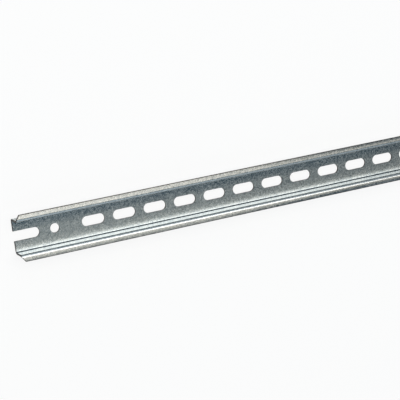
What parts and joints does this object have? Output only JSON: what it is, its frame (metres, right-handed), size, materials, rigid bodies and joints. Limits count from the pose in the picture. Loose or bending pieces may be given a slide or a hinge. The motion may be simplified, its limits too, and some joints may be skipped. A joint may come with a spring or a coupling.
{
  "type": "perforated mounting rail",
  "caption": "Top-hat mounting rail in plated steel, with obround slots along the web, a round hole and an open slot near each end, and clipped brim corners.",
  "frame": {"origin": "middle of the web's back face, on the level that the rail lies on", "axes": "+X along the rail, +Y across its width, +Z out of the open side of the channel"},
  "size_m": [0.5, 0.035, 0.015],
  "materials": {
    "plated_steel": "satin"
  },
  "bodies": {
    "root": {"rail": "plated_steel"}
  },
  "joints": []
}
